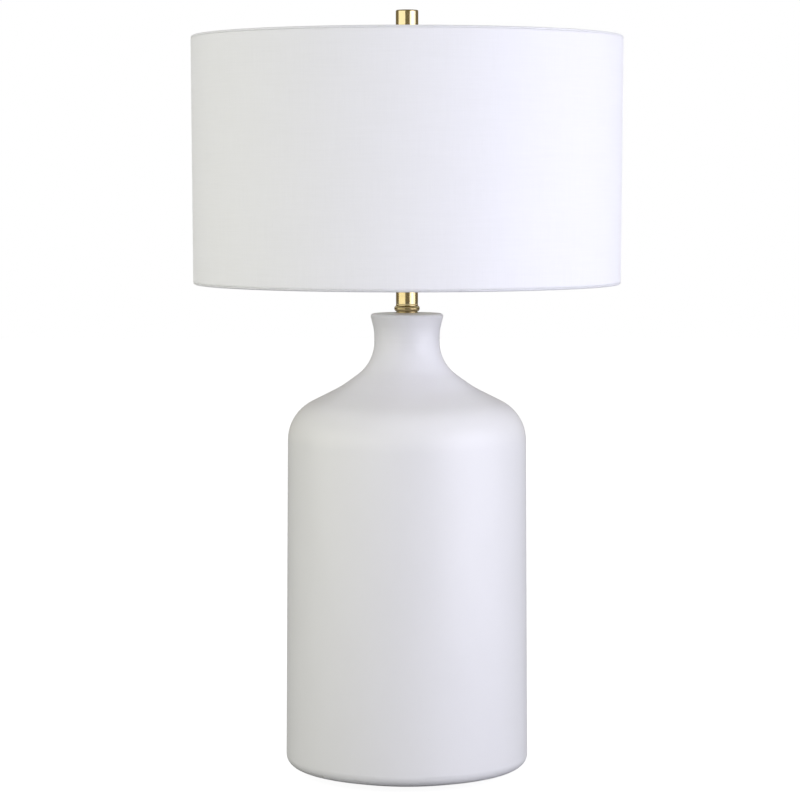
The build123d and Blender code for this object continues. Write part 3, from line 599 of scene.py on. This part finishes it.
glaze = Finish("satin_glaze", ior=1.6)
x, y, z = glaze.place()
radius = (x * x + y * y).root()
wobble = glaze.noise(x / (9 * MM), y / (9 * MM), z / (9 * MM)) * (3 * MM)
bare = (FOOT_LAND_RADIUS > radius + wobble) * (RECESS_TOP > z)
pool = glaze.noise(x / (45 * MM), y / (45 * MM), z / (80 * MM), detail=3)
specks = glaze.noise(x / (1.1 * MM), y / (1.1 * MM), z / (1.1 * MM), detail=1)
pinholes = glaze.ramp(specks, (0.20, 1.0), (0.25, 0.0))
peel = glaze.noise(x / (6 * MM), y / (6 * MM), z / (6 * MM), detail=1)
grit = glaze.noise(x / (0.5 * MM), y / (0.5 * MM), z / (0.5 * MM), detail=4)
coat = glaze.mix(pool, GLAZE_SHADE, GLAZE_LIGHT)
coat = glaze.mix(pinholes * 0.25, coat, (0.5, 0.46, 0.40))
clay = glaze.mix(grit, BISCUIT, (0.76, 0.70, 0.63))
glaze.shade("Base Color", glaze.mix(bare, coat, clay))
glaze.shade("Roughness", 0.33 + peel * 0.04 + bare * 0.5)
glaze.bump(peel * 0.5 * (1 - bare) + grit * bare - pinholes * 0.4 * (1 - bare), 0.06 * MM, 0.6)
print("glaze: satin, with bare biscuit inside", round(FOOT_LAND_RADIUS / MM), "mm")

# %% [markdown]
# ## Metals
#
# All the metals share one recipe. Turning and drawing leave fine lines round the piece: noise that
# is squeezed to a tenth of a millimetre along the axis and left long around it. Adding the radius to
# the height makes the same lines run in circles over flat ends. Handling and air dull a metal in soft
# clouds, which is a darker tint and a rougher surface where a second, slow noise is high.

# %% Mix the metals


def metal(name, clean, dull, roughness, line_depth=0.004, line_pitch=0.12, tarnish=0.35):
    """A turned or drawn metal. Line depth and pitch are in millimetres."""
    made = Finish(name, metallic=1.0)
    x, y, z = made.place()
    radius = (x * x + y * y).root()
    pitch = line_pitch * MM
    lines = made.noise(x / (2.5 * MM), y / (2.5 * MM), (z + radius) / pitch, detail=3)
    cloud = made.noise(x / (11 * MM), y / (11 * MM), z / (11 * MM), detail=4)
    dulled = made.ramp(cloud, (0.42, 0.0), (0.75, 1.0))
    made.shade("Base Color", made.mix(dulled * tarnish + lines * 0.12, clean, dull))
    made.shade("Roughness", roughness + dulled * 0.10 + lines * 0.06)
    made.bump(lines, line_depth * MM, 0.7)
    return made


brass = metal("polished_brass", (0.91, 0.76, 0.43), (0.66, 0.48, 0.19), 0.10)
# The finial takes a paler copy of the tube's brass: painted light for a finial that stands clear of the
# shade's shadow.
finial_lit_brass = metal("finial_painted_light_brass", (0.92, 0.80, 0.50), (0.68, 0.52, 0.25), 0.10, tarnish=0.2)
# The bead ring takes a darker copy of the brass: painted shade for a bead that mirrors the dim room.
bead_shade_brass = metal("bead_painted_shade_brass", (0.60, 0.48, 0.26), (0.32, 0.24, 0.10), 0.13)
spun_brass = metal("spun_brass", (0.83, 0.67, 0.34), (0.52, 0.38, 0.15), 0.26, line_depth=0.012)
zinc = metal("zinc_plate", (0.66, 0.67, 0.69), (0.42, 0.42, 0.42), 0.30, line_depth=0.010, tarnish=0.5)
nickel_shell = metal("drawn_aluminium", (0.80, 0.80, 0.81), (0.55, 0.55, 0.56), 0.24, tarnish=0.3)
print("metals: brass, spun brass, zinc and aluminium")

# %% [markdown]
# ## Plastics, card, felt and paint
#
# Moulded parts take a fine spark-eroded grain from their mould. Powder paint has a coarser, rounder
# ripple. Card and felt are fibres pressed together, so their noise is streaky and strong. One recipe
# serves them all: a colour pair, a grain size and depth, a roughness, and constants for the shine.
# The shade's styrene is translucent, and the studio's light soaks through it and the linen. Two thin
# closed sheets would need many samples to show that truly, so the lining gives off a faint glow.

# %% Mix the moulded, painted and pressed finishes


def pressed(name, light, dark, roughness, grain, depth, stretch=1.0, **constants):
    """A moulded, painted or pressed finish. Grain and depth are in millimetres."""
    made = Finish(name, **constants)
    x, y, z = made.place()
    size = grain * MM
    fine = made.noise(x / size, y / (size * stretch), z / size, detail=4)
    cloud = made.noise(x / (14 * MM), y / (14 * MM), z / (14 * MM), detail=2)
    made.shade("Base Color", made.mix(fine * 0.6 + cloud * 0.4, dark, light))
    made.shade("Roughness", roughness + cloud * 0.08 + fine * 0.06)
    made.bump(fine, depth * MM, 0.7)
    return made


felt = pressed("pressed_felt", (0.46, 0.44, 0.41), (0.30, 0.285, 0.27), 0.90, 0.5, 0.35, 2.5,
               sheen_weight=0.3)
rubber = pressed("black_rubber", (0.065, 0.064, 0.062), (0.035, 0.035, 0.034), 0.62, 0.8, 0.03)
nylon = pressed("white_nylon", (0.86, 0.85, 0.82), (0.80, 0.79, 0.755), 0.40, 0.4, 0.01,
                subsurface_weight=0.1, subsurface_scale=0.5 * MM)
phenolic = pressed("black_phenolic", (0.030, 0.028, 0.027), (0.014, 0.013, 0.013), 0.22, 1.6, 0.02)
card = pressed("waxed_card", (0.47, 0.37, 0.26), (0.34, 0.26, 0.175), 0.60, 0.7, 0.05, 4.0)
white_plastic = pressed("satin_plastic", (0.88, 0.88, 0.87), (0.83, 0.83, 0.82), 0.34, 0.35, 0.008)
opal = pressed("opal_globe", (0.93, 0.925, 0.90), (0.89, 0.885, 0.86), 0.38, 0.5, 0.006,
               subsurface_weight=0.35, subsurface_scale=3 * MM)
board = pressed("white_board", (0.90, 0.90, 0.88), (0.84, 0.84, 0.82), 0.36, 0.5, 0.02)
SOAKED_LIGHT = 0.10
styrene = pressed("white_styrene", (0.90, 0.90, 0.885), (0.865, 0.865, 0.85), 0.42, 1.2, 0.012,
                  subsurface_weight=0.15, subsurface_scale=1 * MM,
                  emission_color=(1.0, 0.99, 0.90), emission_strength=SOAKED_LIGHT)
powder = pressed("powder_paint", (0.87, 0.87, 0.86), (0.80, 0.80, 0.79), 0.38, 1.3, 0.06)
print("pressed and moulded finishes ready")

# %% [markdown]
# ## Finishes onto the carried-over parts
#
# Most parts already have their true shape in the model, so they only need the right surface. The
# record says which finish each part takes, by the name of a slot.

# %% Dress the parts
SLOT_FINISH = {
    "glaze": glaze, "brushed_brass": spun_brass, "polished_brass": brass, "zinc_steel": zinc,
    "felt": felt, "black_rubber": rubber, "white_nylon": nylon, "phenolic": phenolic,
    "insulating_card": card, "aluminium": nickel_shell, "white_plastic": white_plastic,
    "opal": opal, "led_board": board, "styrene": styrene, "ring_white": powder, "linen": linen,
}
slot_of = {part["node"]: part["material_slot"] for part in frame["record"]["subparts"]}
for name, part in frame["nodes"].items():
    part.data.materials.clear()
    finish = finial_lit_brass if name == "finial_cap" else SLOT_FINISH[slot_of[name]]
    part.data.materials.append(finish.material)
print("dressed parts:", len(frame["nodes"]))

# %% [markdown]
# ## Threads
#
# A bulb's base is pressed from thin sheet into a knuckle thread, which is a plain wave with seven
# turns to the inch. The shell it screws into has the same wave, a hair wider. The stud and the
# lamp pipe have sharper cut threads of twenty-seven turns to the inch. A thread is a turned profile
# whose radius depends on how far the point lies along the screw line: the height over the pitch,
# less the angle as a share of a turn. It fades out near each end, as a real one runs out.

# %% Define a threaded turning
INCH = 25.4 * MM
BULB_PITCH = INCH / 7
FINE_PITCH = INCH / 27


def fade(height, low, high, run):
    """1 inside a span of heights, and 0 outside it, with a smooth run at both ends."""
    share = max(0.0, min(1.0, (height - low) / run, (high - height) / run))
    return share * share * (3 - 2 * share)


def wave(height, angle, pitch):
    """From -1 to 1, for a right-hand thread."""
    return math.cos(2 * math.pi * height / pitch - angle)


def straight(start, end, count):
    """Points from one (radius, height) to another, without the last."""
    a, b = Vector(start), Vector(end)
    return [tuple(a.lerp(b, step / count)) for step in range(count)]


print("threads:", round(BULB_PITCH / MM, 3), "mm and", round(FINE_PITCH / MM, 3), "mm")

# %% Press the bulb's base and the socket's screw shell
shell_low, shell_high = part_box("bulb_screw_shell")
shell_radius = shell_high.x
KNUCKLE = 0.45 * MM
BASE_SHEET = 0.4 * MM
BASE_SHOULDER = 1.5 * MM
THREAD_RUN_OUT = 2.5 * MM
PUNCH_MARKS = 6
PUNCH_DROP = 2.2 * MM
PUNCH_RADIUS = 0.9 * MM
PUNCH_DEPTH = 0.5 * MM


def bulb_thread(radius, angle, height):
    """The knuckle thread, and the ring of punch marks that fix the base to its collar."""
    depth = fade(height, shell_low.z + BASE_SHOULDER, shell_high.z - 5 * MM, THREAD_RUN_OUT)
    radius -= KNUCKLE * depth * (1 - wave(height, angle, BULB_PITCH))
    nearest = (angle * PUNCH_MARKS / (2 * math.pi) + 0.5) % 1 - 0.5
    beside = nearest / PUNCH_MARKS * 2 * math.pi * shell_radius
    above = height - (shell_high.z - PUNCH_DROP)
    punch = math.exp(-(beside * beside + above * above) / PUNCH_RADIUS ** 2)
    return radius - PUNCH_DEPTH * punch, height


shoulder_z = shell_low.z + BASE_SHOULDER
outside = straight((shell_radius - BASE_SHOULDER, shell_low.z), (shell_radius, shoulder_z), 5)
outside += straight((shell_radius, shoulder_z), (shell_radius, shell_high.z), 70)
outside.append((shell_radius, shell_high.z))
inside = [(radius - BASE_SHEET, height) for radius, height in reversed(outside)]
points, faces = turned(outside + inside, 120, shape=bulb_thread)
base_shell = finish_mesh("bulb_base_shell", points, faces, nickel_shell, "bulb", ["bulb_screw_shell"])

socket_low, socket_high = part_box("socket_screw_shell")


def socket_thread(radius, angle, height):
    """The same wave in the fixed shell."""
    depth = fade(height, socket_low.z + 3 * MM, socket_high.z + 1 * MM, THREAD_RUN_OUT)
    return radius - KNUCKLE * depth * (1 - wave(height, angle, BULB_PITCH)), height


outside = straight((socket_high.x, socket_low.z), (socket_high.x, socket_high.z), 90)
outside.append((socket_high.x, socket_high.z))
inside = [(radius - BASE_SHEET, height) for radius, height in reversed(outside)]
points, faces = turned(outside + inside, 120, shape=socket_thread)
screw_shell = finish_mesh("socket_thread_shell", points, faces, spun_brass, "base", ["socket_screw_shell"])
print("bulb base vertices:", len(base_shell.data.vertices))

# %% Cut the stud's thread and the lamp pipe's threads
CUT_DEPTH = 0.30 * MM
THREAD_REACH = 0.3 * MM


def cut_thread(low, high, least):
    """A shape that cuts a fine thread between two heights, on radii just over the least."""
    def shape(radius, angle, height):
        if radius < least or radius > least + THREAD_REACH:
            return radius, height
        depth = fade(height, low, high, FINE_PITCH)
        return radius - CUT_DEPTH * depth * (1 - wave(height, angle, FINE_PITCH)) / 2, height
    return shape


stud_low, stud_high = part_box("harp_stud")
STUD_RADIUS = 3.17 * MM
STUD_LENGTH = 13.5 * MM
STUD_POINT = 0.8 * MM
PLATE_THICKNESS = 1.4 * MM
RIVET_RADIUS, PIVOT_RADIUS = 4.2 * MM, 2.4 * MM
seat_z = stud_high.z - STUD_LENGTH
platform_z = seat_z - PLATE_THICKNESS
platform_radius = stud_high.x
head_z = stud_low.z + PLATE_THICKNESS
point_z = stud_high.z - STUD_POINT
stud = rounded([
    (0, stud_low.z, 0), (RIVET_RADIUS, stud_low.z, 0.7 * MM), (RIVET_RADIUS, head_z, 0),
    (PIVOT_RADIUS, head_z, 0), (PIVOT_RADIUS, platform_z, 0), (platform_radius, platform_z, 0.2 * MM),
    (platform_radius, seat_z, 0.45 * MM), (3.4 * MM, seat_z, 0), (STUD_RADIUS, seat_z + 0.3 * MM, 0),
])
stud += [Vector(p) for p in straight((STUD_RADIUS, seat_z + 0.4 * MM), (STUD_RADIUS, point_z), 110)]
stud += rounded([(STUD_RADIUS, point_z, 0), (PIVOT_RADIUS, stud_high.z, 0.2 * MM), (0, stud_high.z, 0)])
points, faces = turned([tuple(p) for p in stud], 48, closed=False,
                       shape=cut_thread(seat_z + 1 * MM, stud_high.z + 1 * MM, STUD_RADIUS - 0.05 * MM))
stud_piece = finish_mesh("swivel_stud", points, faces, spun_brass, "stud", ["harp_stud"])

pipe_low, pipe_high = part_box("threaded_rod")
pipe_radius = pipe_high.x
PIPE_BORE = 3.2 * MM
PIPE_EDGE = 0.4 * MM
THREADED_FOOT, THREADED_HEAD = 26 * MM, 14 * MM
foot_top, head_bottom = pipe_low.z + THREADED_FOOT, pipe_high.z - THREADED_HEAD
pipe = [(PIPE_BORE, pipe_high.z), (PIPE_BORE, pipe_low.z), (pipe_radius - PIPE_EDGE, pipe_low.z)]
pipe += straight((pipe_radius, pipe_low.z + PIPE_EDGE), (pipe_radius, foot_top), 220)
pipe += straight((pipe_radius, foot_top), (pipe_radius, head_bottom), 4)
pipe += straight((pipe_radius, head_bottom), (pipe_radius, pipe_high.z - PIPE_EDGE), 120)
pipe += [(pipe_radius - PIPE_EDGE, pipe_high.z)]


def pipe_thread(radius, angle, height):
    """Threads at both ends of the pipe, and a plain middle."""
    if radius < pipe_radius - 0.05 * MM:
        return radius, height
    foot = fade(height, pipe_low.z - MM, foot_top - MM, MM)
    head = fade(height, head_bottom + MM, pipe_high.z + MM, MM)
    return radius - CUT_DEPTH * (foot + head) * (1 - wave(height, angle, FINE_PITCH)) / 2, height


points, faces = turned(pipe, 40, shape=pipe_thread)
pipe_piece = finish_mesh("lamp_pipe", points, faces, zinc, "base", ["threaded_rod"])
print("lamp pipe in mm:", round((pipe_high.z - pipe_low.z) / MM))

# %% [markdown]
# ## The brass neck
#
# Two pieces meet here, a tube and the bead ring it stands on. A spinner leaves small things at such
# a joint: the tube's foot is flared by a hair so that it seats, and a fine groove sets the bead apart
# above and below. These are a few tenths of a millimetre deep, yet they draw the bright and dark
# hairlines that make the joint look made and not moulded.

# %% Turn the neck ring and the neck tube
ring_low, ring_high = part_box("neck_ring")
tube_low, tube_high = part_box("neck_tube")
tube_radius = tube_high.x
bead_out = ring_high.x - tube_radius
ROD_HOLE = 5.05 * MM
TUBE_WALL = 1 * MM
TUBE_GAP = 0.02 * MM
COLLAR_HEIGHT = 1.2 * MM
collar_top = ring_low.z + COLLAR_HEIGHT
bead_height = tube_low.z - collar_top
GROOVE = 0.6 * MM

bead = [(ROD_HOLE, ring_low.z)]
bead += [(tube_radius - 0.15 * MM, ring_low.z), (tube_radius, ring_low.z + 0.15 * MM),
         (tube_radius, collar_top - 0.35 * MM), (tube_radius - GROOVE, collar_top - 0.15 * MM)]
BEAD_STEPS = 18
BEAD_FULLNESS = 0.8
BEAD_SHARE = 0.94
for step in range(BEAD_STEPS + 1):
    angle = math.pi * (step / BEAD_STEPS - 0.5)
    swell = math.cos(angle) ** BEAD_FULLNESS if 0 < step < BEAD_STEPS else 0.0
    bead.append((tube_radius - GROOVE + (bead_out + GROOVE) * swell,
                 collar_top + bead_height / 2 * (1 + math.sin(angle) * BEAD_SHARE)))
spigot = tube_radius - TUBE_WALL - 0.05 * MM
bead += [(spigot, tube_low.z), (spigot, ring_high.z), (ROD_HOLE, ring_high.z)]
points, faces = turned(bead, 160)
ring_piece = finish_mesh("neck_bead_ring", points, faces, bead_shade_brass, "base", ["neck_ring"])

FLARE = 0.22 * MM
FLARE_TALL = 1.5 * MM
flare_in = tube_radius - 0.1 * MM
foot_z = tube_low.z + TUBE_GAP
outer = [(flare_in, foot_z), (flare_in + FLARE, tube_low.z + 0.05 * MM)]
for step in range(9):
    share = step / 8
    outer.append((flare_in + FLARE * (1 + math.cos(math.pi * share)) / 2,
                  tube_low.z + 0.25 * MM + FLARE_TALL * share))
tube_bore, roof_z = tube_radius - TUBE_WALL, tube_high.z - TUBE_WALL
outer += straight((tube_radius, tube_low.z + 2.4 * MM), (tube_radius, roof_z), 12)
outer += [(tube_radius - TUBE_WALL * (1 - math.cos(a)), tube_high.z - TUBE_WALL * (1 - math.sin(a)))
          for a in [math.pi / 2 * step / 8 for step in range(9)]]
outer += [(ROD_HOLE, tube_high.z), (ROD_HOLE, roof_z), (tube_bore, roof_z), (tube_bore, foot_z)]
points, faces = turned(outer, 160)
tube_piece = finish_mesh("neck_sleeve", points, faces, brass, "base", ["neck_tube"])
print("bead stands out by", round(bead_out / MM, 2), "mm")

# %% [markdown]
# ## Felt pads
#
# Four discs are punched from pressed wool felt. A punch leaves a clean side, but felt is springy, so
# the rim under the weight spreads a little, and loose fibres roughen every face. The disc is turned
# with a rounded rim and its points are then pushed in and out by seeded noise.

# %% Punch the felt pads
pads_low, pads_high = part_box("foot_pads")
PAD_RADIUS = 5.5 * MM
PAD_EDGE = 0.4 * MM
FUZZ = 0.07 * MM
pad_ring = pads_high.x - PAD_RADIUS
fuzz = random.Random(7)
pad = [(0, pads_low.z)]
pad += straight((PAD_EDGE, pads_low.z), (PAD_RADIUS - PAD_EDGE, pads_low.z), 9)
pad += [(PAD_RADIUS - PAD_EDGE + PAD_EDGE * math.sin(a), pads_low.z + PAD_EDGE * (1 - math.cos(a)))
        for a in [math.pi / 2 * step / 4 for step in range(5)]]
pad += straight((PAD_RADIUS, pads_low.z + 0.6 * MM), (PAD_RADIUS, pads_high.z), 4)
pad += straight((PAD_RADIUS, pads_high.z), (0, pads_high.z), 6)
pad.append((0, pads_high.z))
points, faces = turned([tuple(p) for p in pad], 64, closed=False)
all_points, all_faces = [], []
for place in range(4):
    turn = math.pi / 2 * place
    centre = Vector((pad_ring * math.cos(turn), pad_ring * math.sin(turn), 0))
    start = len(all_points)
    for px, py, pz in points:
        ruffle = FUZZ * fuzz.random()
        inward = 1 - ruffle / PAD_RADIUS
        lift = ruffle * 0.5 if pz < pads_low.z + 0.2 * MM else 0
        all_points.append((centre.x + px * inward, centre.y + py * inward, pz + lift))
    all_faces += [tuple(start + index for index in face) for face in faces]
pads_piece = finish_mesh("felt_pads", all_points, all_faces, felt, "base", ["foot_pads"])
print("felt pads:", 4)

# %% [markdown]
# ## Welds on the spider
#
# Each arm of the spider is resistance-welded to the hub, and a weld leaves a soft collar of metal
# where wire and disc run into each other. The collar is a small flared ring round the wire, slightly
# lopsided, under the same brass plating.

# %% Weld the spider's arms
hub_low, hub_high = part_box("spider_hub")
hub_middle = (hub_low.z + hub_high.z) / 2
WIRE_RADIUS = 1.5 * MM
WELD_REACH = 2.6 * MM
WELD_SINK = 0.4 * MM
WELD_FLARE = 1.15 * MM
WELD_HALF_HEIGHT = 1.55 * MM
weld_rand = random.Random(3)
weld_points, weld_faces = [], []
for angle in ARM_ANGLES:
    flare = []
    for step in range(7):
        share = step / 6
        wide = WIRE_RADIUS - 0.05 * MM + WELD_FLARE * (1 - math.sin(math.pi / 2 * share))
        flare.append((wide, WELD_REACH * share - WELD_SINK))
    points, faces = turned(flare, 24, closed=False)
    start = len(weld_points)
    lean = weld_rand.uniform(0.8, 1.2)
    for a, b, along in points:
        out = hub_high.x + along
        side, up = a * lean, min(max(b, -WELD_HALF_HEIGHT), WELD_HALF_HEIGHT)
        weld_points.append((out * math.cos(angle) - side * math.sin(angle),
                            out * math.sin(angle) + side * math.cos(angle), hub_middle + up))
    weld_faces += [tuple(start + index for index in face) for face in faces]
welds = finish_mesh("spider_welds", weld_points, weld_faces, brass, "shade")
print("welds:", 3)
